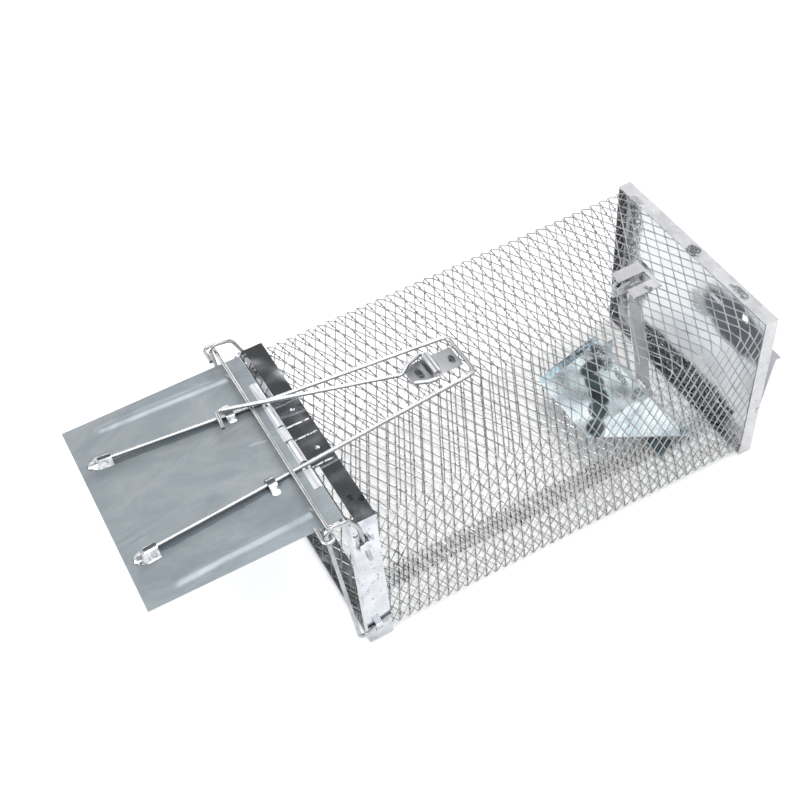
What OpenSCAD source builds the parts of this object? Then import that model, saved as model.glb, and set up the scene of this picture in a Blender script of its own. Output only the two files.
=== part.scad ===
// Live catch trap: a wire-mesh cage with a drop door, a lock bar on two side guides,
// a hold-down rod for the door handle, a treadle trigger and a small rear door.
// Millimetres. The origin is the middle of the front frame's underside, below the doorway.
// +X is to the right of somebody facing the rear, +Y points to the rear, +Z is up.

/* [Cage] */
// Width over the end frames
cage_w = 140; // [138:1:142]
// Height over the end frames
cage_h = 114; // [113:0.5:115]
// Length from the front frame's face to the rear frame's face
cage_l = 266; // [264:1:268]
// Thickness of the frame and door sheet
sheet_t = 0.8; // [0.7:0.1:0.8]

/* [Mesh] */
// Thickness of the mesh sheet
mesh_t = 0.8; // [0.6:0.1:0.8]
// Long way of one diamond
diamond_long = 25.4; // [20:0.2:30]
// Short way of one diamond
diamond_short = 12.7; // [10:0.1:15]
// Width of one strand
strand_w = 1.5; // [1.2:0.1:1.8]

/* [Frames] */
// Depth of the front frame
front_depth = 15; // [14:0.5:15]
// Depth of the rear frame
rear_depth = 8.5; // [8:0.5:10]
// Inward lip round the doorway
front_lip = 6; // [4:0.5:7]
// Inward lip round the rear panel
rear_lip = 5; // [4:0.5:6]

/* [Door] */
// Width of the door panel
door_w = 130; // [126:1:131]
// Length of the door panel from the hinge axis to its free end
door_l = 104.5; // [100:0.5:105]
// Radius of the hinge pin
pin_r = 1; // [0.9:0.05:1]
// Height of the door hinge axis
hinge_z = 114.5; // [114.5:0.1:114.6]

/* [Wires] */
// Radius of the handle, lock bar, guide and rod wire
wire_r = 1.15; // [1:0.05:1.15]
// Radius of the ordinary wire bends, at the middle of the wire
bend_r = 5; // [4:0.5:5]

/* [Trigger] */
// Angle that the trigger swings through from its set position to rest
set_angle = 9; // [8.5:0.5:9]
// Width of the treadle plate
treadle_w = 53; // [48:1:56]

/* [Rear door] */
// Angle at which the rear door stands ajar
ajar = 7.5; // [5:0.5:8]

/* [Hidden] */

$fn = 48;
gap = 0.05;                      // running clearance round a pin, and round fitted wires
lap = 0.15;                      // how far a straight run of wire reaches into a bend
skin = 0.02;                     // extra radius of a wire's bends
half_w = cage_w / 2;
front_y = -front_depth / 2;      // front face of the front frame
rear_y = front_y + cage_l;       // rear face of the rear frame
mesh_z = cage_h - sheet_t;       // top face of the top mesh
inner_x = half_w - sheet_t;      // outer face of the side meshes

// Door hinge: the pin lies just ahead of the front frame, level with its top
hinge_y = front_y - 2.3;
knuckle_r = pin_r + 1.2;         // the sheet is curled round the pin once and a half
door_z = hinge_z + pin_r;        // underside of the open door
door_top = door_z + sheet_t;
notch = 0.5;                     // clearance round the frame's knuckles
frame_knuckles = [[-22, -6], [6, 22]];
door_knuckles = [[-41.5, -28], [-5, 5], [28, 41.5]];
door_notches = [[-27.5, -5.5], [5.5, 27.5]];
hinge_edge = 1.6;                // how far the door's rear edge passes the hinge axis

// Handle: two straight legs that lean down from the door to the mesh behind it
handle_end_y = hinge_y - 97;     // closed ends of the legs, in the door's end tabs
handle_bar_y = 98;               // crossbar, behind the rod bracket
handle_end_x = 34;
handle_bar_x = 15.7;
strap_y = -30.5;                 // middle of the straps that hold the legs to the door
handle_fall = 0.0155;            // drop of the legs per millimetre towards the rear
handle_rest_y = -12.5;           // where the legs meet the door's rear edge
handle_slope = (handle_end_x - handle_bar_x) / (handle_end_y - handle_bar_y);
function leg_x(y) = handle_bar_x + handle_slope * (y - handle_bar_y);
function leg_z(y) = door_top + wire_r + gap - handle_fall * (y - handle_rest_y);

// Lock bar: lies across the handle legs, with a hairpin eye round each side guide
bar_y = -18.7;
bar_z = leg_z(bar_y) + 2 * wire_r + gap;
eye_r = 2.7;
eye_x = 77.7;
eye_end_x = 66;
guide_foot = [-13.5, 11.8];      // [y, z] of each guide's lower corner
guide_top = [bar_y - eye_r, bar_z];

// Hold-down rod: pivots in the channel of its bracket, turned a little in the channel's play
rod_x = -2;
rod_y = 80.4;
rod_z = mesh_z + 2.4;
rod_yaw = -5;
rod_tilt = 5.5;                  // slope at which it rests on the lock bar
rod_step = 2.75;                 // step down past the bracket
rod_reach = 119.5;
channel_r = 1.9;

// Trigger
trigger_x = 2.5;
trigger_y = 212;
trigger_z = 106;
trigger_pin_r = 1.2;
arm_t = 1;
ear_x = [-2.5, 7.5];             // middle planes of the bracket's two ears
treadle_x = 1.5;
treadle_front = [165.5, 28];     // [y, z] of the treadle's front edge
treadle_ridge = [206, 43.3];     // [y, z] of its ridge
treadle_foot = [231.5, 4.2];     // [y, z] of its rear edge
treadle_foot_w = 87;

// Rear door
rear_pin_y = rear_y + 1.9;
rear_pin_z = 7.5;
rear_pin_r = 0.9;
rear_knuckle_r = rear_pin_r + gap + 0.65;
rear_door_t = 0.6;
rear_door_top = 73;
rear_door_w = 132;
bait_hole = [104, 52];           // opening that the rear door covers

// A box between two corners
module block(a, b) {
    translate(a)
        cube(b - a);
}

// A straight run of wire from p to q
module run(p, q, r) {
    d = q - p;
    translate(p)
        rotate([0, acos(d.z / norm(d)), atan2(d.y, d.x)])
            cylinder(r = r, h = norm(d));
}

// A bend at corner p, from direction a to direction b, with its middle line at radius rb
module bend(p, a, b, r, rb) {
    n = cross(a, b) / norm(cross(a, b));
    turn = acos(a * b);
    inward = cross(n, a);
    c = p - a * rb * tan(turn / 2) + inward * rb;
    multmatrix([[-inward.x, a.x, n.x, c.x],
                [-inward.y, a.y, n.y, c.y],
                [-inward.z, a.z, n.z, c.z],
                [0, 0, 0, 1]])
        rotate_extrude(angle = turn)
            translate([rb, 0])
                circle(r = r);
}

// A bent wire through the corners in pts, with one bend radius for each inner corner.
// The bends are a hair thicker, and the straight runs end just inside them.
module wire(pts, r, radii) {
    last = len(pts) - 1;
    dirs = [for (i = [0:last - 1]) (pts[i + 1] - pts[i]) / norm(pts[i + 1] - pts[i])];
    cut = [for (i = [0:last])
        i == 0 || i == last ? 0 : radii[i - 1] * tan(acos(dirs[i - 1] * dirs[i]) / 2) - lap];
    for (i = [0:last - 1])
        run(pts[i] + dirs[i] * max(cut[i], 0), pts[i + 1] - dirs[i] * max(cut[i + 1], 0), r);
    for (i = [1:last - 1])
        bend(pts[i], dirs[i - 1], dirs[i], r + skin, radii[i - 1]);
}

// A flat sheet of any outline in space: its corners in order, thickened along its normal
module facet(corners, t) {
    n = len(corners);
    across = cross(corners[1] - corners[0], corners[2] - corners[0]);
    step = across / norm(across) * t;
    polyhedron(points = concat(corners, [for (c = corners) c + step]),
               faces = concat([[for (i = [0:n - 1]) i], [for (i = [0:n - 1]) 2 * n - 1 - i]],
                              [for (i = [0:n - 1]) [(i + 1) % n, i, n + i, n + (i + 1) % n]]));
}

// A flat grille of diamonds between two borders, in the XY plane; [x, y] sizes
module grille(size, cutout = []) {
    border = 2.2;
    half = [diamond_long - 2 * strand_w, diamond_short - strand_w] / 2;
    nx = floor((size.x - 2 * border) / diamond_long);
    ny = floor((size.y - 2 * border) / diamond_short);
    pitch = [(size.x - 2 * border) / nx, (size.y - 2 * border) / ny];
    linear_extrude(mesh_t)
        difference() {
            square(size);
            for (i = [0:2 * nx], j = [0:2 * ny])
                if ((i + j) % 2 == 1) {
                    c = [border + i * pitch.x / 2, border + j * pitch.y / 2];
                    lo = [i == 0 ? 0 : -half.x, j == 0 ? 0 : -half.y];
                    hi = [i == 2 * nx ? 0 : half.x, j == 2 * ny ? 0 : half.y];
                    translate(c)
                        polygon([[lo.x, 0], [0, lo.y], [hi.x, 0], [0, hi.y]]);
                }
            if (len(cutout) > 0)
                translate(cutout[0])
                    square(cutout[1]);
        }
}

// A strap lanced out of a sheet: a staple with a tunnel through it
module strap(size, tunnel) {
    difference() {
        translate([-size.x / 2, -size.y / 2, 0])
            cube(size);
        translate([-tunnel.x / 2, -size.y / 2 - 1, -1])
            cube([tunnel.x, size.y + 2, tunnel.y + 1]);
    }
}

// A hinge eye along X with its tongue
module eye(x0, x1, centre, r_out) {
    translate([x0, centre.x, centre.y])
        rotate([0, 90, 0])
            cylinder(r = r_out, h = x1 - x0);
}

module eye_bore(centre, r) {
    translate([-cage_w, centre.x, centre.y])
        rotate([0, 90, 0])
            cylinder(r = r, h = 2 * cage_w);
}

// An upright ring of sheet: outer size, depth from y0 to y1
module sheet_ring(y0, y1) {
    difference() {
        block([-half_w, y0, 0], [half_w, y1, cage_h]);
        block([-inner_x, y0 - 1, sheet_t], [inner_x, y1 + 1, mesh_z]);
    }
}

// A flat inward lip with its face at y0
module lip_ring(y0, side, top, foot) {
    difference() {
        block([-half_w, y0, 0], [half_w, y0 + sheet_t, cage_h]);
        block([-half_w + side, y0 - 1, foot], [half_w - side, y0 + sheet_t + 1, cage_h - top]);
    }
}

module frame_gusset(side) {
    w = 12;
    drop = 22;
    corner = half_w - front_lip;
    translate([0, front_y + sheet_t, 0])
        rotate([90, 0, 0])
            linear_extrude(sheet_t)
                polygon([[side * corner, cage_h - front_lip],
                         [side * (corner - w), cage_h - front_lip],
                         [side * corner, cage_h - front_lip - drop]]);
}

// The two staples on one side of the front frame that hold the guide wire
module guide_straps(side) {
    out = 2 * wire_r + 3 * gap;
    translate([side * (half_w - gap), -1.1, 95.5])
        rotate([0, side * 90, 0])
            rotate([0, 0, 90])
                strap([7.4, 5.6, out + sheet_t + gap], [3.6, out + gap]);
    translate([side * (half_w - gap), -1.5, 16.4])
        rotate([0, side * 90, 0])
            strap([8.8, 4, out + sheet_t + gap], [5.2, out + gap]);
}

module front_frame() {
    color("gainsboro")
    difference() {
        union() {
            difference() {
                union() {
                    sheet_ring(front_y, -front_y);
                    lip_ring(front_y, front_lip, front_lip, 3);
                    for (side = [-1, 1])
                        frame_gusset(side);
                }
                // Slits that free the two hinge tabs, and a hole in each tab
                for (x = [-26, -5, 5, 26])
                    block([x - 0.6, front_y - 1, mesh_z - 1], [x + 0.6, 6.2, cage_h + 1]);
                // The top flange is cut back beside the tabs
                for (side = [-1, 1])
                    block([side > 0 ? 27 : -67, front_y + sheet_t, mesh_z - 1],
                          [side > 0 ? 67 : -27, -3.6, cage_h + 1]);
                for (x = [-15.5, 15.5])
                    translate([x, 1.2, mesh_z - 1])
                        cylinder(r = 1.3, h = 3);
                for (side = [-1, 1])
                    translate([side * (half_w - 2), -5.2, 104])
                        rotate([0, side * 90, 0])
                            cylinder(r = 1.5, h = 3);
            }
            // Hinge tongues and eyes
            for (k = frame_knuckles) {
                eye(k[0], k[1], [hinge_y, hinge_z], knuckle_r);
                block([k[0], hinge_y, hinge_z - pin_r - sheet_t],
                      [k[1], front_y + sheet_t, hinge_z - pin_r]);
            }
            for (side = [-1, 1])
                guide_straps(side);
        }
        eye_bore([hinge_y, hinge_z], pin_r + gap);
    }
}

module rear_frame() {
    tongue_x = [46, 58];
    color("gainsboro")
    difference() {
        union() {
            sheet_ring(rear_y - rear_depth, rear_y);
            lip_ring(rear_y - sheet_t, rear_lip, rear_lip, rear_lip);
            for (side = [-1, 1]) {
                x0 = side > 0 ? tongue_x[0] : -tongue_x[1];
                x1 = side > 0 ? tongue_x[1] : -tongue_x[0];
                eye(x0, x1, [rear_pin_y, rear_pin_z], rear_knuckle_r);
                block([x0, rear_y - sheet_t, rear_pin_z - rear_pin_r - 0.65],
                      [x1, rear_pin_y, rear_pin_z - rear_pin_r]);
                block([x0, rear_y - sheet_t, rear_lip - 1],
                      [x1, rear_y, rear_pin_z - rear_pin_r]);
            }
        }
        eye_bore([rear_pin_y, rear_pin_z], rear_pin_r + gap);
    }
}

module rear_panel() {
    y0 = rear_y - sheet_t - 0.6;
    color("lightsteelblue")
    difference() {
        block([-inner_x, y0, sheet_t], [inner_x, y0 + 0.6, mesh_z]);
        block([-bait_hole.x / 2, y0 - 1, 13], [bait_hole.x / 2, y0 + 2, 13 + bait_hole.y]);
        block([15, y0 - 1, 88.4], [27.5, y0 + 2, 91.6]);
        block([44, y0 - 1, 92.5], [49, y0 + 2, 97.5]);
    }
}

// Mesh panels: they end inside the two frames, and the top one starts under its flange
mesh_y0 = front_y + sheet_t;
mesh_top_y0 = -1;
mesh_y1 = rear_y - sheet_t - 0.6;
flat_x = inner_x - mesh_t;

module mesh_top() {
    hole = [[ear_x[0] - 1.5 + flat_x, 193 - mesh_top_y0], [ear_x[1] - ear_x[0] + 3, 28]];
    color("silver")
    translate([-flat_x, mesh_top_y0, mesh_z - mesh_t])
        grille([2 * flat_x, mesh_y1 - mesh_top_y0], hole);
}

module mesh_bottom() {
    color("silver")
    translate([-flat_x, mesh_y0, sheet_t])
        grille([2 * flat_x, mesh_y1 - mesh_y0]);
}

module mesh_side(side) {
    color("silver")
    translate([side > 0 ? inner_x : -flat_x, mesh_y0, sheet_t])
        rotate([0, -90, 0])
            grille([mesh_z - sheet_t, mesh_y1 - mesh_y0]);
}

module mesh_left() { mesh_side(-1); }

module mesh_right() { mesh_side(1); }

module hinge_pin() {
    color("silver")
    translate([-67, hinge_y, hinge_z])
        rotate([0, 90, 0])
            cylinder(r = pin_r, h = 134);
}

// Outline of a slot from p to q with rounded ends
function slot_outline(p, q, w) =
    let (u = (q - p) / norm(q - p), v = [-u.y, u.x])
    concat([for (k = [0:6]) q + w / 2 * (v * cos(30 * k) + u * sin(30 * k))],
           [for (k = [0:6]) p - w / 2 * (v * cos(30 * k) + u * sin(30 * k))]);

// Pressed beads on the door: [from, to, width, rise]
beads = [[[-56.5, -95.2], [-53.4, -21.6], 3.6, 0.9], [[56.5, -95.2], [53.4, -21.6], 3.6, 0.9],
         [[-21, -101.6], [21, -101.6], 3, 0.6], [[-4.6, -15.5], [-3.6, -30], 2.4, 0.5]];

// One pressed bead, open below
module bead(b) {
    skin = 0.55;
    difference() {
        translate([0, 0, door_z + 0.3])
            linear_extrude(door_top - door_z - 0.3 + b[3])
                polygon(slot_outline(b[0], b[1], b[2]));
        translate([0, 0, door_z - 1])
            linear_extrude(door_top - door_z + 1 + b[3] - skin)
                polygon(slot_outline(b[0], b[1], b[2] - 2 * skin));
    }
}

// A sheet loop that arches over one handle leg, wider on its outer side; [inner, outer] feet
module leg_loop(side, y, length, feet) {
    t = 0.75;
    foot = 1.3;
    clear = wire_r + 0.15;
    h = leg_z(y - length / 2) + clear - door_top;
    translate([side * leg_x(y), y, door_top])
        rotate([0, 0, -side * atan(handle_slope)])
            translate([0, length / 2, 0])
                rotate([90, 0, 0])
                    linear_extrude(length)
                        difference() {
                            polygon([[-side * feet[0], -gap], [-side * (clear + t), h + t],
                                     [side * (clear + t), h + t], [side * feet[1], -gap]]);
                            polygon([[-side * (feet[0] - foot), 0], [-side * clear, h],
                                     [side * clear, h], [side * (feet[1] - foot), 0]]);
                        }
}

module door_panel() {
    tab_y = handle_end_y + 3.6;
    color("lightslategray")
    difference() {
        union() {
            difference() {
                block([-door_w / 2, hinge_y - door_l, door_z],
                      [door_w / 2, hinge_y + hinge_edge, door_top]);
                for (b = beads)
                    translate([0, 0, door_z - 1])
                        linear_extrude(3)
                            polygon(slot_outline(b[0], b[1], b[2] - 1));
                // Notches for the frame's knuckles and the handle's legs
                for (k = door_notches)
                    block([k[0], hinge_y - knuckle_r - notch, door_z - 1],
                          [k[1], hinge_y + 5, door_top + 1]);
            }
            for (b = beads)
                bead(b);
            for (k = door_knuckles)
                eye(k[0], k[1], [hinge_y, hinge_z], knuckle_r);
            for (side = [-1, 1]) {
                leg_loop(side, strap_y, 4.8, [5.6, 8]);
                difference() {
                    leg_loop(side, tab_y, 13.4, [4.4, 6.2]);
                    translate([side * (leg_x(tab_y) + 3.6), tab_y, door_top + 0.3])
                        cylinder(r = 1.1, h = 5);
                }
            }
        }
        eye_bore([hinge_y, hinge_z], pin_r + gap);
    }
}

module door_handle() {
    function at(side, y) = [side * leg_x(y), y, leg_z(y)];
    color("silver")
    wire([at(1, handle_end_y), at(1, handle_bar_y), at(-1, handle_bar_y), at(-1, handle_end_y)],
         wire_r, [bend_r, bend_r]);
}

module lock_bar() {
    front = bar_y - 2 * eye_r;
    turn_x = eye_x - eye_r;
    color("silver") {
        run([-turn_x - lap, bar_y, bar_z], [turn_x + lap, bar_y, bar_z], wire_r);
        for (side = [-1, 1]) {
            translate([side * turn_x, bar_y - eye_r, bar_z])
                rotate([0, 0, -side * 90])
                    rotate_extrude(angle = 180)
                        translate([eye_r, 0])
                            circle(r = wire_r + skin);
            run([side * (turn_x + lap), front, bar_z], [side * eye_end_x, front, bar_z], wire_r);
        }
    }
}

module guide(side) {
    x = half_w + wire_r + gap;
    slope = (guide_top.x - guide_foot.x) / (guide_top.y - guide_foot.y);
    rise = 4.9;
    color("silver")
    wire([[side * x, 0.6, 80], [side * (x + 0.1), -3, 110],
          [side * (x + 1.8), -8.5, 122.6],
          [side * (x + 1.8), guide_top.x + slope * rise, guide_top.y + rise],
          [side * (x + 1), guide_foot.x, guide_foot.y], [side * x, -1.5, 16.3],
          [side * x, 8, 19.6]],
         wire_r, [bend_r, bend_r, 3.5, 4, bend_r]);
}

module guide_left() { guide(-1); }

module guide_right() { guide(1); }

module rod_bracket() {
    x0 = rod_x - 7.5;
    x1 = rod_x + 7.5;
    outer = channel_r + sheet_t;
    color("lightsteelblue")
    difference() {
        union() {
            block([x0, 65.6, mesh_z], [x1, 96, mesh_z + sheet_t]);
            block([x0, rod_y - outer, mesh_z], [x1, rod_y + outer, rod_z]);
            translate([x0, rod_y, rod_z])
                rotate([0, 90, 0])
                    cylinder(r = outer, h = x1 - x0);
        }
        block([x0 - 1, rod_y - channel_r, mesh_z - 1], [x1 + 1, rod_y + channel_r, rod_z]);
        translate([x0 - 1, rod_y, rod_z])
            rotate([0, 90, 0])
                cylinder(r = channel_r, h = x1 - x0 + 2);
    }
}

// The rod lies along -Y in its own frame, with its pivot along X at that frame's origin
module hold_down_rod() {
    pts = [[9.2, -14.5, 0], [11.2, -7, 0], [11.2, 0, 0], [-11.2, 0, 0], [-5, -12.5, 0],
           [-1.6, -17, -rod_step], [-15, -rod_reach, -rod_step], [-1.8, -rod_reach, -rod_step]];
    color("silver")
    translate([rod_x, rod_y, rod_z])
        rotate([0, 0, rod_yaw])
            rotate([-rod_tilt, 0, 0])
                wire(pts, wire_r, [6, 2.5, 2.5, 6, 4, 2.5]);
}

module trigger_bracket() {
    y0 = trigger_y - 9.5;
    y1 = trigger_y + 9.5;
    color("lightsteelblue")
    difference() {
        union() {
            block([-9.5, y0, mesh_z], [14, y1, mesh_z + sheet_t]);
            for (x = ear_x)
                translate([x - sheet_t / 2, 0, 0])
                    rotate([90, 0, 90])
                        linear_extrude(sheet_t)
                            polygon([[trigger_y - 6, mesh_z], [trigger_y - 4, trigger_z - 4],
                                     [trigger_y + 4, trigger_z - 4], [trigger_y + 6, mesh_z]]);
        }
        block([-1, y0 - 1, mesh_z - 1], [6.5, y1 - 2, cage_h + 1]);
        eye_bore([trigger_y, trigger_z], trigger_pin_r + gap);
    }
}

module trigger_pin() {
    color("silver")
    translate([ear_x[0] - 2, trigger_y, trigger_z])
        rotate([0, 90, 0])
            cylinder(r = trigger_pin_r, h = ear_x[1] - ear_x[0] + 4);
}

// Face of the treadle's rear slope at height z: its y
function rear_slope_y(z) = treadle_ridge.x
    + (treadle_ridge.y - z) * (treadle_foot.x - treadle_ridge.x) / (treadle_ridge.y - treadle_foot.y);

// Trigger arm: a strip hung on the pin, with a catch finger at the top and a foot on the treadle
module trigger_arm() {
    clear = sheet_t + 0.35;      // stands off the rear slope, measured along Y
    foot_angle = atan2(treadle_foot.x - treadle_ridge.x, treadle_ridge.y - treadle_foot.y);
    color("lightsteelblue") {
        difference() {
            translate([trigger_x - arm_t / 2, 0, 0])
                rotate([90, 0, 90])
                    linear_extrude(arm_t)
                        polygon([[trigger_y - 5.5, 112], [trigger_y - 4, 93], [213.6, 59],
                                 [rear_slope_y(24) + clear, 24], [rear_slope_y(6) + clear, 6],
                                 [223.8, 59], [trigger_y + 5.2, 93], [trigger_y + 3, 112]]);
            eye_bore([trigger_y, trigger_z], trigger_pin_r + gap);
        }
        // The hook is drawn where it stands over the rod's end, then swung to rest
        translate([trigger_x - arm_t / 2, trigger_y, trigger_z])
            rotate([set_angle, 0, 0])
                rotate([90, 0, 90])
                    linear_extrude(arm_t)
                        polygon([[-3, 3], [-3, 9.5], [-13.6, 9.5], [-13.6, 13.7], [-11.6, 13.7],
                                 [-11.6, 15.5], [-15.5, 15.5], [-15.5, 5], [-7, 3]]);
        translate([trigger_x - arm_t / 2, rear_slope_y(24) + clear, 24])
            rotate([-(90 - foot_angle), 0, 0])
                cube([9, 18, arm_t]);
    }
}

// Treadle: a front plate, a rear slope and two side wings in one bent sheet, with a far-side lip
module treadle() {
    w = treadle_w / 2;
    wf = treadle_foot_w / 2;
    function corner(side, yz, half) = [treadle_x + side * half, yz.x, yz.y];
    fl = corner(-1, treadle_front, w);
    fr = corner(1, treadle_front, w);
    rl = corner(-1, treadle_ridge, w);
    rr = corner(1, treadle_ridge, w);
    bl = corner(-1, treadle_foot, wf);
    br = corner(1, treadle_foot, wf);
    color("lightsteelblue") {
        facet([fl, rl, rr, fr], sheet_t);
        facet([rl, bl, br, rr], sheet_t);
        facet([fr, rr, br], sheet_t);
        facet([fl, bl, rl], sheet_t);
        facet([fl, rl, rl + [0, 0, 4], fl + [0, 0, 4]] - [[0, 0, 0.5], [0, 0, 0.5], [0, 0, 0], [0, 0, 0]], sheet_t);
        for (side = [-1, 1])
            translate([treadle_x + side * (wf - 2) - sheet_t / 2, treadle_foot.x - 6, treadle_foot.y])
                cube([sheet_t, 6, 11]);
    }
}

module treadle_rivets() {
    clear = sheet_t + 0.35;
    foot_angle = atan2(treadle_foot.x - treadle_ridge.x, treadle_ridge.y - treadle_foot.y);
    color("silver")
    translate([trigger_x - arm_t / 2, rear_slope_y(24) + clear, 24])
        rotate([-(90 - foot_angle), 0, 0])
            for (y = [4, 13])
                translate([5.5, y, arm_t])
                    cylinder(r = 1.8, h = 0.7);
}

module rear_door() {
    face = gap - rear_knuckle_r;
    height = rear_door_top - rear_pin_z;
    color("gainsboro")
    translate([0, rear_pin_y, rear_pin_z])
        rotate([-ajar, 0, 0])
            difference() {
                union() {
                    block([-rear_door_w / 2, face, 2], [rear_door_w / 2, face + rear_door_t, height]);
                    block([-rear_door_w / 2, face, height - rear_door_t], [rear_door_w / 2, 2.5, height]);
                    for (x = [-44, 32]) {
                        eye(x, x + 12, [0, 0], rear_knuckle_r);
                        block([x, face, 0], [x + 12, face + rear_door_t, 3]);
                    }
                }
                eye_bore([0, 0], rear_pin_r + gap);
            }
}

module rear_door_pin() {
    color("silver")
    translate([-60, rear_pin_y, rear_pin_z])
        rotate([0, 90, 0])
            cylinder(r = rear_pin_r, h = 120);
}

front_frame();
rear_frame();
rear_panel();
mesh_top();
mesh_bottom();
mesh_left();
mesh_right();
hinge_pin();
door_panel();
door_handle();
lock_bar();
guide_left();
guide_right();
rod_bracket();
hold_down_rod();
trigger_bracket();
trigger_pin();
trigger_arm();
treadle();
treadle_rivets();
rear_door();
rear_door_pin();
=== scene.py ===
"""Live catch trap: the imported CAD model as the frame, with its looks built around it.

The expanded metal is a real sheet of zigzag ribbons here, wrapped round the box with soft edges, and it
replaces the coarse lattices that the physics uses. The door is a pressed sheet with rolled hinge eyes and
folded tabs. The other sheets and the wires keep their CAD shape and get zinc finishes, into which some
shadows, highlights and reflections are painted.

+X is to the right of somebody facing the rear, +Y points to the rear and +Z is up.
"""
import math

import bmesh
import bpy
from mathutils import Euler, Matrix, Vector


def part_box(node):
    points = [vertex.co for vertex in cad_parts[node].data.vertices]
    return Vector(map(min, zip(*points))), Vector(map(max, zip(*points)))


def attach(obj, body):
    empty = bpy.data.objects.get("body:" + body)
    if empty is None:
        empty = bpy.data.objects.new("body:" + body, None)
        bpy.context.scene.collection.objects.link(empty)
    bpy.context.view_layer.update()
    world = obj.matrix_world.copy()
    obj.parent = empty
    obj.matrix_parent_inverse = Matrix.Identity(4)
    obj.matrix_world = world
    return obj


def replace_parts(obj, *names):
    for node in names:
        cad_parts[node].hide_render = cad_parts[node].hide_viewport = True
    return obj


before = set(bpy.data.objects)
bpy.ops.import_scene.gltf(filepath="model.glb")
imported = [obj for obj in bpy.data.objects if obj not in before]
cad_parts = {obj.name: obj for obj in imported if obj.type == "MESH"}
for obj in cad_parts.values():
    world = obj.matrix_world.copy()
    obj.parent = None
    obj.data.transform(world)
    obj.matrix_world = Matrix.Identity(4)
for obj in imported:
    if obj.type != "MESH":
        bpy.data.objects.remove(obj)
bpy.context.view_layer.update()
MM = 0.001
CAGE = "cage"


# ---------------------------------------------------------------- helpers

def make_object(name, verts, faces, material, smooth_below=None, outward=False):
    """A mesh object; edges of less than smooth_below degrees look smooth, and outward turns its faces out."""
    mesh = bpy.data.meshes.new(name)
    mesh.from_pydata([Vector(v) for v in verts], [], faces)
    mesh.validate()
    if outward:
        bm = bmesh.new()
        bm.from_mesh(mesh)
        bmesh.ops.recalc_face_normals(bm, faces=bm.faces)
        bm.to_mesh(mesh)
        bm.free()
    if smooth_below is not None:
        mesh.polygons.foreach_set("use_smooth", [True] * len(mesh.polygons))
        mesh.set_sharp_from_angle(angle=math.radians(smooth_below))
    mesh.materials.append(material)
    obj = bpy.data.objects.new(name, mesh)
    bpy.context.scene.collection.objects.link(obj)
    return obj


def new_material(name):
    mat = bpy.data.materials.new(name)
    mat.use_nodes = True
    tree = mat.node_tree
    return mat, tree, tree.nodes["Principled BSDF"]


def add(tree, kind, **values):
    """A new node whose inputs or settings have the given values."""
    node = tree.nodes.new(kind)
    for key, value in values.items():
        if key in node.inputs:
            node.inputs[key].default_value = value
        else:
            setattr(node, key, value)
    return node


def feed(tree, target, value):
    """Set an input from another node's output, a number or a colour."""
    if isinstance(value, bpy.types.NodeSocket):
        tree.links.new(value, target)
    else:
        target.default_value = (*value, 1) if isinstance(value, tuple) else value


def noise(tree, coord, **values):
    node = add(tree, "ShaderNodeTexNoise", **values)
    tree.links.new(coord, node.inputs["Vector"])
    return node


def calculate(tree, operation, first, second):
    node = add(tree, "ShaderNodeMath", operation=operation)
    feed(tree, node.inputs[0], first)
    feed(tree, node.inputs[1], second)
    return node.outputs["Value"]


def darkest(tree, first, second):
    return second if first is None else calculate(tree, "MAXIMUM", first, second)


def fade(tree, value, start, stop, first=0.0, last=1.0):
    """A soft step from first, where the value is at start, to last, where it is at stop."""
    node = add(tree, "ShaderNodeMapRange", interpolation_type="SMOOTHSTEP")
    limits = {"From Min": start, "From Max": stop, "To Min": first, "To Max": last}
    for key, number in limits.items():
        node.inputs[key].default_value = number
    tree.links.new(value, node.inputs["Value"])
    return node.outputs["Result"]


def ramp(tree, source, stops):
    """A colour ramp; each stop is (position, grey level or colour)."""
    node = tree.nodes.new("ShaderNodeValToRGB")
    node.color_ramp.elements[0].position = stops[0][0]
    node.color_ramp.elements[1].position = stops[-1][0]
    for position, _ in stops[1:-1]:
        node.color_ramp.elements.new(position)
    for element, (_, value) in zip(node.color_ramp.elements, stops):
        element.color = (*value, 1) if isinstance(value, tuple) else (value, value, value, 1)
    tree.links.new(source, node.inputs["Fac"])
    return node.outputs["Color"]


def mixed_colour(tree, factor, start, end):
    node = add(tree, "ShaderNodeMix", data_type="RGBA")
    tree.links.new(factor, node.inputs["Factor"])
    feed(tree, node.inputs[6], start)
    feed(tree, node.inputs[7], end)
    return node.outputs[2]


def relief(tree, height, strength, distance, under=None):
    """A bump, on top of the one under it if there is one."""
    node = add(tree, "ShaderNodeBump", Strength=strength, Distance=distance)
    tree.links.new(height, node.inputs["Height"])
    if under is not None:
        tree.links.new(under, node.inputs["Normal"])
    return node.outputs["Normal"]


# ---------------------------------------------------------------- zinc and painted shade

CAGE_MIDDLE = (0, 0.125, 0.057)
INSIDE = "inside"           # keeps a mark to the faces that look into the cage
SPECK_TOP = 0.113           # the top flanges are clean
SPECK_SCALE = 380.0
SPECK_EDGE = 0.745          # noise level above which there is a speck, less a tenth of the amount
MARK_EDGE = (1.1, 0.7)      # a mark fades in between these shares of its radii
WAVE_SCALE = 38.0
GRAIN_SCALE, CRYSTAL_SCALE = 22, 2.6   # times as fine as the patches
# FLANK_TILT sets where the painted shade on a wire's flanks begins and where it is darkest
FLANK_TILT = (0.72, 0.15)   # upward share of the normal where a wire's flank starts and where it is darkest


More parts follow.
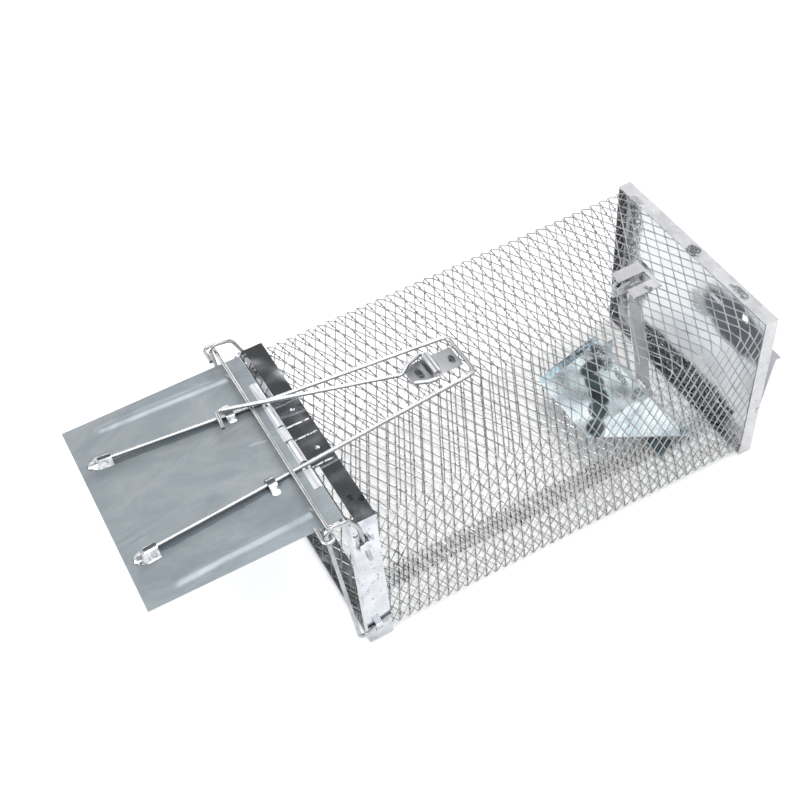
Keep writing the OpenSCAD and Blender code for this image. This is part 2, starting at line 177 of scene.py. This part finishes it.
def inward(tree):
    """1 on the faces that look into the cage, 0 on those that look out of it."""
    coords = tree.nodes.new("ShaderNodeTexCoord")
    toward = add(tree, "ShaderNodeVectorMath", operation="SUBTRACT")
    toward.inputs[0].default_value = CAGE_MIDDLE
    tree.links.new(coords.outputs["Object"], toward.inputs[1])
    facing = add(tree, "ShaderNodeVectorMath", operation="DOT_PRODUCT")
    tree.links.new(toward.outputs["Vector"], facing.inputs[0])
    tree.links.new(coords.outputs["Normal"], facing.inputs[1])
    return calculate(tree, "GREATER_THAN", facing.outputs["Value"], 0.0)


def marks_and_painted_shade(tree, coord, marks, wander):
    """Dark marks, real ones such as welds as well as painted shadows and painted reflections: soft ellipsoids
    with an uneven outline, each (centre in mm, radii in mm, how dark, how broken up).

    A fifth value of INSIDE keeps a mark to the faces that look into the cage. Wander is how far the outlines
    stray, in mm.
    """
    drift = noise(tree, coord, Scale=70.0, Detail=5.0, Roughness=0.65)
    broken = noise(tree, coord, Scale=420.0, Detail=4.0, Roughness=0.75, Distortion=1.5)
    offset = add(tree, "ShaderNodeVectorMath", operation="MULTIPLY_ADD")
    tree.links.new(drift.outputs["Color"], offset.inputs[0])
    offset.inputs[1].default_value = (wander * MM, wander * MM, wander * MM)
    tree.links.new(coord, offset.inputs[2])
    total = None
    for centre, radii, dark, ragged, *side in marks:
        place = add(tree, "ShaderNodeMapping", vector_type="POINT")
        place.inputs["Location"].default_value = [-(c + wander / 2) / r for c, r in zip(centre, radii)]
        place.inputs["Scale"].default_value = [1 / (r * MM) for r in radii]
        tree.links.new(offset.outputs["Vector"], place.inputs["Vector"])
        far = add(tree, "ShaderNodeVectorMath", operation="LENGTH")
        tree.links.new(place.outputs["Vector"], far.inputs[0])
        mark = fade(tree, far.outputs["Value"], *MARK_EDGE, 0.0, dark)
        if ragged:
            holes = ramp(tree, broken.outputs["Fac"], [(0.40, 0.0), (0.40 + 0.2 * ragged, 1.0)])
            mark = calculate(tree, "MULTIPLY", mark, holes)
        if side == [INSIDE]:
            mark = calculate(tree, "MULTIPLY", mark, inward(tree))
        total = darkest(tree, total, mark)
    return total


def dross_specks(tree, coord, amount):
    """Small dark specks, on everything below the top flanges."""
    dots = noise(tree, coord, Scale=SPECK_SCALE, Detail=2.0, Roughness=0.6)
    edge = SPECK_EDGE - 0.1 * amount
    spots = ramp(tree, dots.outputs["Fac"], [(edge, 0.0), (edge + 0.04, 0.85)])
    place = add(tree, "ShaderNodeSeparateXYZ")
    tree.links.new(coord, place.inputs[0])
    below = calculate(tree, "LESS_THAN", place.outputs["Z"], SPECK_TOP)
    return calculate(tree, "MULTIPLY", spots, below)


def painted_flank_shade(tree, dark):
    """Painted shade on a wire's flanks: the colour darkens where the normal turns away from up, so a wire
    lying flat has a light top and dark flanks.
    """
    up = add(tree, "ShaderNodeSeparateXYZ")
    tree.links.new(tree.nodes.new("ShaderNodeTexCoord").outputs["Normal"], up.inputs[0])
    return fade(tree, up.outputs["Z"], *FLANK_TILT, 0.0, dark)


def galvanised(name, light, dark, rough, spangle=0.0, streak=(1, 1, 1), bump=0.05, scale=60.0,
               marks=(), wander=16.0, specks=0.0, shade=(0.05, 0.06, 0.07), metallic=1.0,
               waves=0.0, outside=None, crown=0.0):
    """Zinc on sheet steel: cloudy patches, grain and crystals, under welds, specks and painted shade and
    reflections.

    Light and dark are the patches' colours and rough their roughness, spangle is the share of the crystals,
    streak stretches the patches, bump is the depth of the grain and scale its fineness. Marks and wander are
    described with the dark marks above, which are welds as well as painted shadows and reflections; specks is
    the amount of dross, and shade is the colour of all dark spots. Waves is the height of the sheet's buckles
    in mm, outside a plain colour for the faces that look out of the cage, and crown how dark the painted
    shade on a wire's flanks is.
    """
    mat, tree, bsdf = new_material(name)
    coord = tree.nodes.new("ShaderNodeTexCoord").outputs["Object"]
    mapping = add(tree, "ShaderNodeMapping", Scale=streak)
    tree.links.new(coord, mapping.inputs["Vector"])
    stretched = mapping.outputs["Vector"]
    cloud = noise(tree, stretched, Scale=scale, Detail=6.0, Roughness=0.62, Distortion=0.6)
    grain = noise(tree, stretched, Scale=scale * GRAIN_SCALE, Detail=3.0, Roughness=0.7)
    crystal = add(tree, "ShaderNodeTexVoronoi", Scale=scale * CRYSTAL_SCALE)
    tree.links.new(stretched, crystal.inputs["Vector"])
    patches = add(tree, "ShaderNodeMix", data_type="FLOAT")
    patches.inputs["Factor"].default_value = spangle
    tree.links.new(cloud.outputs["Fac"], patches.inputs[2])
    tree.links.new(crystal.outputs["Color"], patches.inputs[3])
    middle = tuple((a + b) / 2 for a, b in zip(light, dark))
    colour = ramp(tree, patches.outputs[0], [(0.28, dark), (0.5, middle), (0.7, light)])
    if outside:
        colour = mixed_colour(tree, inward(tree), outside, colour)

    # Welds, specks, painted shadows and reflections, and the painted shade of wire flanks darken the colour
    level = marks_and_painted_shade(tree, coord, marks, wander) if marks else None
    if specks:
        level = darkest(tree, level, dross_specks(tree, coord, specks))
    if crown:
        level = darkest(tree, level, painted_flank_shade(tree, crown))
    if level is not None:
        colour = mixed_colour(tree, level, colour, shade)

    surface = None
    if waves:
        swell = noise(tree, coord, Scale=WAVE_SCALE, Detail=1.0)
        surface = relief(tree, swell.outputs["Fac"], 1.0, waves * MM)
    surface = relief(tree, grain.outputs["Fac"], bump, 1 * MM, surface)
    roughness = ramp(tree, cloud.outputs["Fac"], [(0.3, rough[1]), (0.72, rough[0])])
    tree.links.new(colour, bsdf.inputs["Base Color"])
    tree.links.new(roughness, bsdf.inputs["Roughness"])
    tree.links.new(surface, bsdf.inputs["Normal"])
    bsdf.inputs["Metallic"].default_value = metallic
    return mat


# ---------------------------------------------------------------- finishes, with painted shade and reflections

# The first mark is the dark threshold, the next two are weld spots, the rest are painted shade under the
# guide straps
FRONT = galvanised(
    "front frame zinc", (0.70, 0.72, 0.75), (0.44, 0.46, 0.49), (0.05, 0.2), 0.1, bump=0.03,
    specks=0.9, waves=3.0, wander=5.0,
    marks=[((0, -7, 0), (80, 9, 12), 0.8, 1.0),
           ((54, 1, 115), (2.4, 2.4, 3), 0.6, 0.5), ((57, 6, 115), (2.4, 2.4, 3), 0.6, 0.5)]
    + [mark for x in (69.5, -69.5)
       for mark in (((x, -1, 94), (4, 5.5, 6), 0.9, 0.5), ((x, 0, 15.5), (4, 8.5, 3.4), 0.9, 0.5))])

# Three weld spots on the top flange, one on the trigger's bracket, and the mesh mirrored along the inside
REAR = galvanised(
    "rear frame zinc", (0.60, 0.60, 0.61), (0.45, 0.45, 0.47), (0.16, 0.3), 0.1, bump=0.03,
    specks=0.8, waves=1.0,
    marks=[((-52.5, 252, 115), (6, 4, 8), 0.35, 0.3), ((0.5, 253, 115), (6, 4.5, 8), 0.85, 0.3),
           ((42, 254, 115), (8, 3.5, 8), 0.7, 0.3), ((11.5, 214, 114.5), (3.4, 3, 3), 0.8, 0.7),
           ((-67, 255, 60), (6, 16, 70), 0.9, 0.5, INSIDE),
           ((0, 252, 0), (66, 9, 8), 0.92, 0.5, INSIDE)])

# Inside faces painted near white as a painted highlight, outside faces plain zinc grey; a painted dark
# reflection high on the right, and the mesh mirrored along the foot and the left edge
PANEL = galvanised(
    "rear panel zinc", (0.97, 0.98, 1.0), (0.90, 0.92, 0.95), (0.12, 0.26), 0.05, bump=0.03,
    specks=0.3, metallic=0.45, outside=(0.52, 0.53, 0.55),
    marks=[((40, 258, 84), (36, 14, 20), 0.9, 0.0, INSIDE), ((10, 258, 76), (14, 14, 8), 0.55, 0.3, INSIDE),
           ((3, 258, 8), (62, 12, 12), 0.97, 0.45, INSIDE), ((-60, 258, 60), (8, 12, 60), 0.9, 0.5, INSIDE)])

# A painted dark reflection winds across the plate; the other marks paint its top edge, its wings and its toe
# darker
BLUED = galvanised(
    "treadle zinc", (0.84, 0.91, 0.94), (0.46, 0.58, 0.64), (0.10, 0.22), 0.1, bump=0.03,
    specks=0.7, shade=(0.03, 0.05, 0.06), waves=2.0, wander=3.5,
    marks=[((-10, 194, 38), (6, 9, 14), 0.95, 0.0), ((0, 189, 37), (9, 5.5, 14), 0.95, 0.0),
           ((10, 186, 36), (9, 5, 14), 0.95, 0.0), ((18, 180, 34), (8, 5.5, 14), 0.95, 0.0),
           ((26, 173, 32), (7, 6, 14), 0.93, 0.0),
           ((-13, 202, 41), (13, 5, 10), 0.85, 0.5), ((9, 202, 42), (8, 2.0, 8), 0.7, 0.3),
           ((26, 204, 42), (5, 6, 6), 0.6, 0.3), ((-26, 186, 38), (2.2, 32, 16), 0.9, 0.2),
           ((31, 193, 38), (1.6, 10, 10), 0.5, 0.3), ((36, 228, 9), (12, 5, 5), 0.7, 0.4)])
# The toe is painted nearly black, as painted shade under the near wing
TOE = galvanised("shaded zinc", (0.16, 0.20, 0.22), (0.07, 0.09, 0.10), (0.2, 0.35), bump=0.03, scale=160.0)

# The bracket's two welds, and the shadows along both sides of its channel
SADDLE = galvanised(
    "dull bright zinc", (0.66, 0.66, 0.68), (0.40, 0.41, 0.43), (0.24, 0.4), 0.1, waves=2.0, wander=4.0,
    marks=[((-1, 92.6, 115), (3.6, 2.4, 4), 0.95, 0.35), ((-1, 72.3, 115), (4.6, 2.6, 4), 0.9, 0.35),
           ((-2, 83.3, 114.9), (8, 0.9, 3), 0.75, 0.0), ((-2, 77.4, 114.9), (8, 0.9, 3), 0.75, 0.0)])

# Seven marks in a row paint each leg's shadow on the sheet beside it
LEG_MARK = (28.8, -48.5)    # a point of the right leg, x and y in mm
LEG_SLOPE = 0.0894          # how far the leg moves out for each mm towards its free end
DOOR = galvanised(
    "dull zinc sheet", (0.385, 0.418, 0.442), (0.222, 0.254, 0.275), (0.46, 0.58), streak=(1, 0.45, 1),
    bump=0.08, scale=48.0, waves=0.5, wander=1.5, shade=(0.06, 0.09, 0.11),
    marks=[((side * (LEG_MARK[0] + LEG_SLOPE * drop) + 1.5, LEG_MARK[1] - drop, 116), (2.4, 11, 4), 0.55, 0.0)
           for side in (-1, 1) for drop in range(-13, 42, 9)])
LOOPS = galvanised("folded zinc", (0.72, 0.74, 0.76), (0.16, 0.18, 0.20), (0.12, 0.3), bump=0.03,
                   scale=330.0, waves=0.5)
# The hinge eyes are painted near white with little metal, a painted highlight over each whole barrel
CURLS = galvanised("curled zinc", (0.90, 0.91, 0.93), (0.40, 0.43, 0.46), (0.10, 0.25), bump=0.04,
                   scale=260.0, streak=(0.25, 2.5, 1), waves=0.6, metallic=0.25)

# Two marks along the seam of the sheet, its two weld spots, and the cut ends behind the front frame
MESH = galvanised(
    "expanded zinc strands", (0.45, 0.45, 0.45), (0.22, 0.22, 0.225), (0.22, 0.4), scale=120.0,
    shade=(0.035, 0.035, 0.045), wander=1.5,
    marks=[((38, 118, 0), (8, 118, 5), 0.4, 0.5), ((40, 52, 0), (7, 40, 5), 0.5, 0.4),
           ((34, 168, 0), (8, 9, 5), 0.95, 0.45), ((41, 109, 0), (8, 6, 5), 0.95, 0.35),
           ((70, 18, 55), (4, 5, 26), 0.95, 0.75)])
WIRE = galvanised("zinc wire", (0.52, 0.52, 0.52), (0.27, 0.28, 0.29), (0.14, 0.28), scale=90.0)
# The handle, the lock bar and the rod get painted shade on their flanks
FLAT_WIRE = galvanised("zinc wire with painted flank shade", (0.66, 0.66, 0.66), (0.38, 0.39, 0.40), (0.12, 0.26),
                       scale=90.0, crown=0.75, shade=(0.10, 0.11, 0.12))

# Each part's zinc finish; several of them have painted shadows, highlights and reflections in their colour
FINISH = {
    "front_frame": FRONT, "rear_frame": REAR, "rear_panel": PANEL, "rear_door": PANEL,
    "rear_door_pin": WIRE, "hinge_pin": WIRE, "guide_left": WIRE, "guide_right": WIRE,
    "door_panel": DOOR, "door_handle": FLAT_WIRE, "lock_bar": FLAT_WIRE,
    "rod_bracket": SADDLE, "hold_down_rod": FLAT_WIRE,
    "trigger_bracket": REAR, "trigger_pin": WIRE, "trigger_arm": PANEL,
    "treadle": BLUED, "treadle_rivets": WIRE,
}


def apply_finishes():
    for node_name, finish in FINISH.items():
        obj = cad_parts[node_name]
        if not obj.material_slots:
            obj.data.materials.append(finish)
        for slot in obj.material_slots:
            slot.link = "OBJECT"
            slot.material = finish


# ---------------------------------------------------------------- expanded metal

LONG_WAY = 12.7 * MM      # diamond, round the box
SHORT_WAY = 6.4 * MM      # diamond, along the box
STRAND = 0.66 * MM        # width of one ribbon
THICK = 0.38 * MM         # thickness of one ribbon
TILT = math.radians(38)   # how far a ribbon leans out of the sheet
BOND = 0.10               # share of a half diamond that a joint between two ribbons takes
LAP = 0.20                # share of a ribbon's half width by which two ribbons overlap at a joint
INSET = 0.9 * THICK       # from the CAD mesh's outside to the ribbons' middle
EDGE_R = 5.5 * MM         # soft long edges of the box
MESH_TOP_Y0 = -1 * MM     # the top side starts here, under the front frame's flange
TOP_BAND = 1.5 * MM       # what lies within this of the top counts as the top side
SEAM = (5, 8)             # half diamonds from the middle of the base where the sheet's ends overlap
SEAM_LIFT = 0.5 * MM      # the inner end lies this far inside the outer one


def perimeter_point(s, half_w, z0, z1, r):
    """Point and outward normal at distance s round a rounded box section, from the middle of its base."""
    w, h = 2 * half_w, z1 - z0
    arc = math.pi * r / 2
    legs = [(half_w - r, "run"), (arc, "arc"), (h - 2 * r, "run"), (arc, "arc"), (w - 2 * r, "run"),
            (arc, "arc"), (h - 2 * r, "run"), (arc, "arc"), (half_w - r, "run")]
    x, z, angle = 0.0, z0, 0.0
    for length, kind in legs:
        step = min(s, length)
        if kind == "run":
            x += step * math.cos(angle)
            z += step * math.sin(angle)
        else:
            cx, cz = x - r * math.sin(angle), z + r * math.cos(angle)
            angle += step / r
            x, z = cx + r * math.sin(angle), cz - r * math.cos(angle)
        s -= step
        if s <= 1e-9:
            break
    return x, z, math.sin(angle), -math.cos(angle)


def perimeter_length(half_w, z0, z1, r):
    return 4 * half_w + 2 * (z1 - z0) - 8 * r + 2 * math.pi * r


def expanded_mesh(name, seam=None):
    """Zigzag ribbons that touch at their peaks, right round the box or over the seam's half diamonds only."""
    low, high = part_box("mesh_right")
    half_w, z0, z1 = high.x - INSET, low.z + INSET, high.z - INSET
    around = perimeter_length(half_w, z0, z1, EDGE_R)
    count = round(around / LONG_WAY)
    rows = round((high.y - low.y) / (SHORT_WAY / 2))
    pitch = (high.y - low.y) / rows
    lean, rise = math.cos(TILT), math.sin(TILT)
    swing = pitch / 2 - (1 - LAP) * (STRAND / 2 * lean + THICK / 2 * rise)
    corners = [((a * STRAND * lean - b * THICK * rise) / 2, (a * STRAND * rise + b * THICK * lean) / 2)
               for a, b in ((-1, -1), (1, -1), (1, 1), (-1, 1))]
    lift = SEAM_LIFT if seam else 0.0
    stations = [((k + off) * around / count / 2, 1 if k % 2 == 0 else -1)
                for k in (range(*seam) if seam else range(2 * count)) for off in (-BOND, BOND)]
    n = len(stations)
    verts, faces = [], []
    for row in range(rows):
        middle = low.y + (row + 0.5) * pitch
        flip = 1 if (row % 2 == 0) != bool(seam) else -1
        first = len(verts)
        for s, side in stations:
            x, z, nx, nz = perimeter_point(s % around, half_w, z0, z1, EDGE_R)
            for along, out in corners:
                y = middle + flip * side * swing + along
                verts.append((x + nx * (out - lift), y, z + nz * (out - lift)))
        if seam:
            last = first + 4 * (n - 1)
            faces += [tuple(range(first + 3, first - 1, -1)), tuple(range(last, last + 4))]
        for i in range(n - 1 if seam else n):
            a, b = first + 4 * i, first + 4 * ((i + 1) % n)
            if middle < MESH_TOP_Y0 and verts[a][2] > z1 - TOP_BAND:
                continue
            faces += [(a + c, a + (c + 1) % 4, b + (c + 1) % 4, b + c) for c in range(4)]
    obj = make_object(name, verts, faces, MESH)
    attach(obj, CAGE)
    return obj


# ---------------------------------------------------------------- door

DOOR_W = 130 * MM
DOOR_Y0, DOOR_Y1 = -114.3 * MM, -8.2 * MM
DOOR_TOP = 116.3 * MM
DOOR_CELL = 0.9 * MM                    # grid of the pressed sheet
SHEET = 0.8 * MM
NOTCH_Y = -12.5 * MM                    # the door's rear edge is notched up to here
HINGE = (-9.8 * MM, 114.5 * MM)         # y and z of the pin
EYE_OUTER, EYE_INNER = 2.26 * MM, 1.45 * MM
EYE_START, EYE_STEP, EYE_POINTS = 96, 11.2, 31   # degrees, degrees and count round a hinge eye
DOOR_TAIL_Y = NOTCH_Y - 0.4 * MM        # the door's hinge eyes start from its sheet here
FRAME_TAIL_Y, FRAME_TOP = -7.2 * MM, 114.2 * MM   # and the frame's from its top flange here
NOTCHES = [(-27.5 * MM, -5.5 * MM), (5.5 * MM, 27.5 * MM)]
KNUCKLES = [(-41.5 * MM, -28 * MM), (-5 * MM, 5 * MM), (28 * MM, 41.5 * MM)]
FRAME_KNUCKLE = (6 * MM, 22 * MM)       # on each side, between two of the door's
# [from, to, half width, rise] of each pressed bead, in millimetres
BEADS = [((-56.5, -95.2), (-53.4, -21.6), 3.6, 1.05), ((56.5, -95.2), (53.4, -21.6), 3.6, 1.05),
         ((-22, -101.6), (22, -101.6), 4.5, 0.3), ((-5.4, -15.5), (-3.2, -30), 1.1, 0.35),
         ((-1.2, -15.5), (-3.2, -30), 1.1, 0.35)]


def spread(low, high, step, extra=()):
    """Rising values from low to high about step apart, with the extra ones among them."""
    count = max(1, round((high - low) / step))
    values = [low + (high - low) * i / count for i in range(count + 1)]
    values = [v for v in values if all(abs(v - e) > step * 0.3 for e in extra)]
    return sorted(values + [e for e in extra if low < e < high])


def sheet_grid(name, xs, ys, keep, place, thickness, material):
    """A thin sheet over a grid: keep(x, y) says which cells are there, and place(x, y) gives a top point."""
    index, verts, faces = {}, [], []

    def corner(i, j, level):
        key = (i, j, level)
        if key not in index:
            x, y, z = place(xs[i], ys[j])
            index[key] = len(verts)
            verts.append((x, y, z - level * thickness))
        return index[key]

    cells = {(i, j) for i in range(len(xs) - 1) for j in range(len(ys) - 1)
             if keep((xs[i] + xs[i + 1]) / 2, (ys[j] + ys[j + 1]) / 2)}
    for i, j in sorted(cells):
        ring = [(i, j), (i + 1, j), (i + 1, j + 1), (i, j + 1)]
        faces.append([corner(a, b, 0) for a, b in ring])
        faces.append([corner(a, b, 1) for a, b in reversed(ring)])
        for k, (di, dj) in enumerate(((0, -1), (1, 0), (0, 1), (-1, 0))):
            if (i + di, j + dj) not in cells:
                (a, b), (c, d) = ring[k], ring[(k + 1) % 4]
                faces.append([corner(c, d, 0), corner(a, b, 0), corner(a, b, 1), corner(c, d, 1)])
    return make_object(name, verts, faces, material, smooth_below=50)


def bead_height(x, y):
    """Rise of the pressed beads at a point of the door, all in millimetres."""
    rise = 0.0
    for (ax, ay), (bx, by), half, top in BEADS:
        dx, dy = bx - ax, by - ay
        t = max(0.0, min(1.0, ((x - ax) * dx + (y - ay) * dy) / (dx * dx + dy * dy)))
        away = math.hypot(x - ax - t * dx, y - ay - t * dy)
        if away < half:
            rise = max(rise, top * 0.5 * (1 + math.cos(math.pi * away / half)))
    return rise


def door_point(x, y):
    """A point of the door's top face, with its beads and a slow 0.1 mm wave."""
    wave = 0.10 * math.sin(x / MM * 0.043 + 0.7) * math.sin(y / MM * 0.051 + 0.4)
    return x, y, DOOR_TOP + (bead_height(x / MM, y / MM) + wave) * MM


def door_sheet():
    xs = spread(-DOOR_W / 2, DOOR_W / 2, DOOR_CELL, [edge for notch in NOTCHES for edge in notch])
    ys = spread(DOOR_Y0, DOOR_Y1, DOOR_CELL, [NOTCH_Y])

    def keep(x, y):
        return y < NOTCH_Y or not any(a < x < b for a, b in NOTCHES + KNUCKLES)

    obj = sheet_grid("door_sheet", xs, ys, keep, door_point, SHEET, DOOR)
    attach(obj, "door")
    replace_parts(obj, "door_panel")


def curl(name, x0, x1, tail_y, tail_top, body):
    """A hinge eye from x0 to x1, rolled round the pin out of a sheet that ends at tail_y, with its top face
    at tail_top."""
    y, z = HINGE
    way = 1 if tail_y < y else -1
    profile = []
    for r, tail_z in ((EYE_OUTER, tail_top), (EYE_INNER, tail_top - SHEET)):
        turns = [math.radians(EYE_START - EYE_STEP * k) for k in range(EYE_POINTS)]
        line = [(tail_y - y, tail_z - z)] + [(way * r * math.cos(a), r * math.sin(a)) for a in turns]
        profile += line if r == EYE_OUTER else line[::-1]
    m = len(profile)
    verts = [(x, y + v, z + w) for x in (x0, x1) for v, w in profile]
    faces = [(i, (i + 1) % m, m + (i + 1) % m, m + i) for i in range(m)]
    for k in range(m // 2 - 1):
        faces.append((k, m - 1 - k, m - 2 - k, k + 1))
        faces.append((m + k, m + k + 1, 2 * m - 2 - k, 2 * m - 1 - k))
    obj = make_object(name, verts, faces, CURLS, smooth_below=40)
    if way < 0:
        obj.data.flip_normals()
    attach(obj, body)


# ---------------------------------------------------------------- tongues over the handle's legs

WIRE_R = 1.15 * MM
LEG_START, LEG_END = (15.7, 98), (34, -106.8)   # the leg's x and y at both ends, in mm
LEG_DIP = 0.0155          # how far the leg falls for each unit towards the rear
TONGUE = 0.7 * MM         # thickness of the folded sheet
TONGUE_GAP = 0.12 * MM    # room over the wire
ACROSS = 13               # points across a tongue
PINCH = 0.45              # share of a closed tongue that tapers down to the door
SUNK = 0.35               # share of its thickness by which a tongue is sunk in the door
CLEAR = 0.05 * MM         # hairline gaps, over the door and under a tongue
STRAP_Y, STRAP_FEET = (-28.1 * MM, -32.9 * MM), (5.6 * MM, 8 * MM)
END_TAB_Y, END_TAB_FEET = (-96.5 * MM, -110 * MM), (4.4 * MM, 6.2 * MM)


def leg_x(y):
    (x0, y0), (x1, y1) = LEG_START, LEG_END
    return (x0 + (x1 - x0) / (y1 - y0) * (y / MM - y0)) * MM


def leg_z(y):
    return DOOR_TOP + WIRE_R + CLEAR - LEG_DIP * (y - NOTCH_Y)


def leg_loop(name, side, y0, y1, feet, closed):
    """A tongue lanced from the door and folded over one leg; closed pinches its far end down.

    It runs from y0 to y1, and feet is how far it reaches to the inner and to the outer side of the leg.
    """
    lines = 18 if closed else 9
    verts, faces = [], []
    for j in range(lines):
        f = j / (lines - 1)
        y = y0 + (y1 - y0) * f
        if closed:
            taper = max(0.0, (f - 1 + PINCH) / PINCH)
            lift, narrow = min(1.0, (1 - f) / PINCH) ** 0.6, 1.0 - 0.75 * taper ** 1.5
        else:
            lift, narrow = 1.0, 1.0 - 0.10 * abs(2 * f - 1) ** 3
        height = (leg_z(y) + WIRE_R + TONGUE_GAP - DOOR_TOP) * lift
        for top in (TONGUE, CLEAR):
            for k in range(ACROSS):
                u = 2 * k / (ACROSS - 1) - 1
                foot = feet[1 if u > 0 else 0] * narrow
                crown = max(0.0, 1 - max(0.0, abs(u) * foot - 1.1 * MM) / (foot - 1.0 * MM))
                arch = height * (0.5 - 0.5 * math.cos(math.pi * min(1.0, crown * 1.06)))
                verts.append((side * (leg_x(y) + u * foot), y, DOOR_TOP + arch + top - SUNK * TONGUE))
    row = 2 * ACROSS
    for j in range(lines - 1):
        for level in (0, 1):
            for k in range(ACROSS - 1):
                a = j * row + level * ACROSS + k
                quad = (a, a + 1, a + row + 1, a + row)
                faces.append(quad if level == 0 else quad[::-1])
        for k in (0, ACROSS - 1):
            a = j * row + k
            faces.append((a, a + ACROSS, a + row + ACROSS, a + row))
    for j in (0, lines - 1):
        for k in range(ACROSS - 1):
            a = j * row + k
            faces.append((a, a + 1, a + ACROSS + 1, a + ACROSS))
    obj = make_object(name, verts, faces, LOOPS, smooth_below=50, outward=True)
    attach(obj, "door")


# ---------------------------------------------------------------- treadle toe

TOE_OUTLINE = [(31.3, 206.3), (48.4, 207.8), (42.1, 221.6), (33.5, 212.7)]   # x and y in mm
TOE_TOP = 3.6 * MM


def plate(name, outline, top, thickness, material, body):
    """A flat piece of sheet: outline in (x, y), millimetres."""
    n = len(outline)
    verts = [(x * MM, y * MM, z) for z in (top, top - thickness) for x, y in outline]
    faces = [tuple(range(n)), tuple(range(2 * n - 1, n - 1, -1))]
    faces += [(k, n + k, n + (k + 1) % n, (k + 1) % n) for k in range(n)]
    obj = make_object(name, verts, faces, material)
    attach(obj, body)


# ---------------------------------------------------------------- floor, light and camera

FLOOR_HALF = 6.0
FLOOR_GAP = 0.4 * MM      # keeps the floor clear of the trap's underside

# [direction, half angle in degrees, edge softness in degrees, how dark] of each grey panel in the tent
PANELS = [((-0.62, 0.10, 0.77), 8, 15, 0.93), ((0.12, -0.05, 0.99), 8, 12, 0.75),
          ((0.55, 0.55, 0.62), 10, 14, 0.85), ((0.45, -0.72, 0.55), 10, 14, 0.85),
          ((-0.30, -0.75, 0.60), 8, 12, 0.7), ((-0.35, 0.80, 0.50), 9, 12, 0.75)]
TENT_COLOUR, TENT_STRENGTH = (0.985, 0.99, 1.0), 1.5

# [name, place, aim, size, watts]
LAMPS = [("key", (0.25, 0.3, 1.9), (0, 0.12, 0), (1.1, 0.9), 14),
         ("side", (-1.6, 0.8, 0.7), (0, 0.1, 0.05), (0.9, 0.7), 6),
         ("front", (1.0, -1.3, 0.5), (0, 0.1, 0.05), (0.7, 0.5), 3),
         ("mouth", (0.0, -1.0, 0.16), (0, 0.25, 0.06), (0.6, 0.4), 9)]

CAMERA_PLACE = (0.42308, -0.12673, 0.63183)
CAMERA_ANGLES = (38.9255, 5.063, 62.1777)   # degrees about x, y and z
CAMERA_LENS, CAMERA_SHIFT = 57.29, (0.0296, 0.0554)


def stage_floor():
    mat, _, bsdf = new_material("floor")
    bsdf.inputs["Base Color"].default_value = (0.96, 0.96, 0.96, 1)
    bsdf.inputs["Roughness"].default_value = 0.9
    corners = [(x * FLOOR_HALF, y * FLOOR_HALF, 0) for x, y in ((-1, -1), (1, -1), (1, 1), (-1, 1))]
    floor = make_object("floor", corners, [(0, 1, 2, 3)], mat)
    floor.location.z = -FLOOR_GAP


def area_light(name, place, aim, size, power):
    light = bpy.data.lights.new(name, "AREA")
    light.shape = "RECTANGLE"
    light.size, light.size_y = size
    light.energy = power
    obj = bpy.data.objects.new(name, light)
    obj.location = place
    obj.rotation_euler = (Vector(aim) - Vector(place)).to_track_quat("-Z", "Y").to_euler()
    bpy.context.scene.collection.objects.link(obj)


def studio():
    """A bright tent with soft grey panels in it, so that shiny sheet has something to mirror."""
    world = bpy.data.worlds.new("studio")
    world.use_nodes = True
    tree = world.node_tree
    coord = tree.nodes.new("ShaderNodeTexCoord").outputs["Generated"]
    level = TENT_STRENGTH
    for direction, half, soft, dark in PANELS:
        dot = add(tree, "ShaderNodeVectorMath", operation="DOT_PRODUCT")
        dot.inputs[1].default_value = Vector(direction).normalized()
        tree.links.new(coord, dot.inputs[0])
        outer, inner = math.cos(math.radians(half + soft)), math.cos(math.radians(half))
        level = calculate(tree, "MULTIPLY", level,
                          fade(tree, dot.outputs["Value"], outer, inner, 1.0, 1.0 - dark))
    background = tree.nodes["Background"]
    feed(tree, background.inputs["Color"], TENT_COLOUR)
    feed(tree, background.inputs["Strength"], level)
    bpy.context.scene.world = world
    bpy.context.scene.view_settings.view_transform = "Standard"
    for lamp in LAMPS:
        area_light(*lamp)


def camera():
    data = bpy.data.cameras.new("camera")
    data.lens = CAMERA_LENS
    data.sensor_width = 36
    data.shift_x, data.shift_y = CAMERA_SHIFT
    cam = bpy.data.objects.new("camera", data)
    turn = Euler([math.radians(angle) for angle in CAMERA_ANGLES]).to_matrix().to_4x4()
    cam.matrix_world = Matrix.Translation(CAMERA_PLACE) @ turn
    bpy.context.scene.collection.objects.link(cam)
    bpy.context.scene.camera = cam


# ---------------------------------------------------------------- assembly

apply_finishes()
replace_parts(expanded_mesh("expanded_mesh"), "mesh_top", "mesh_bottom", "mesh_left", "mesh_right")
expanded_mesh("mesh_seam", seam=SEAM)
door_sheet()
for number, (start, end) in enumerate(KNUCKLES):
    curl(f"door_knuckle_{number}", start, end, DOOR_TAIL_Y, DOOR_TOP, "door")
for number, side in enumerate((-1, 1)):
    start, end = sorted(side * x for x in FRAME_KNUCKLE)
    curl(f"frame_knuckle_{number}", start, end, FRAME_TAIL_Y, FRAME_TOP, CAGE)
for word, side in (("left", -1), ("right", 1)):
    leg_loop(f"leg_strap_{word}", side, *STRAP_Y, STRAP_FEET, False)
    leg_loop(f"leg_end_tab_{word}", side, *END_TAB_Y, END_TAB_FEET, True)
# The near wing's toe, bent in under it, low over the bottom mesh
plate("treadle_toe", TOE_OUTLINE, TOE_TOP, SHEET, TOE, "trigger")
stage_floor()
studio()
camera()
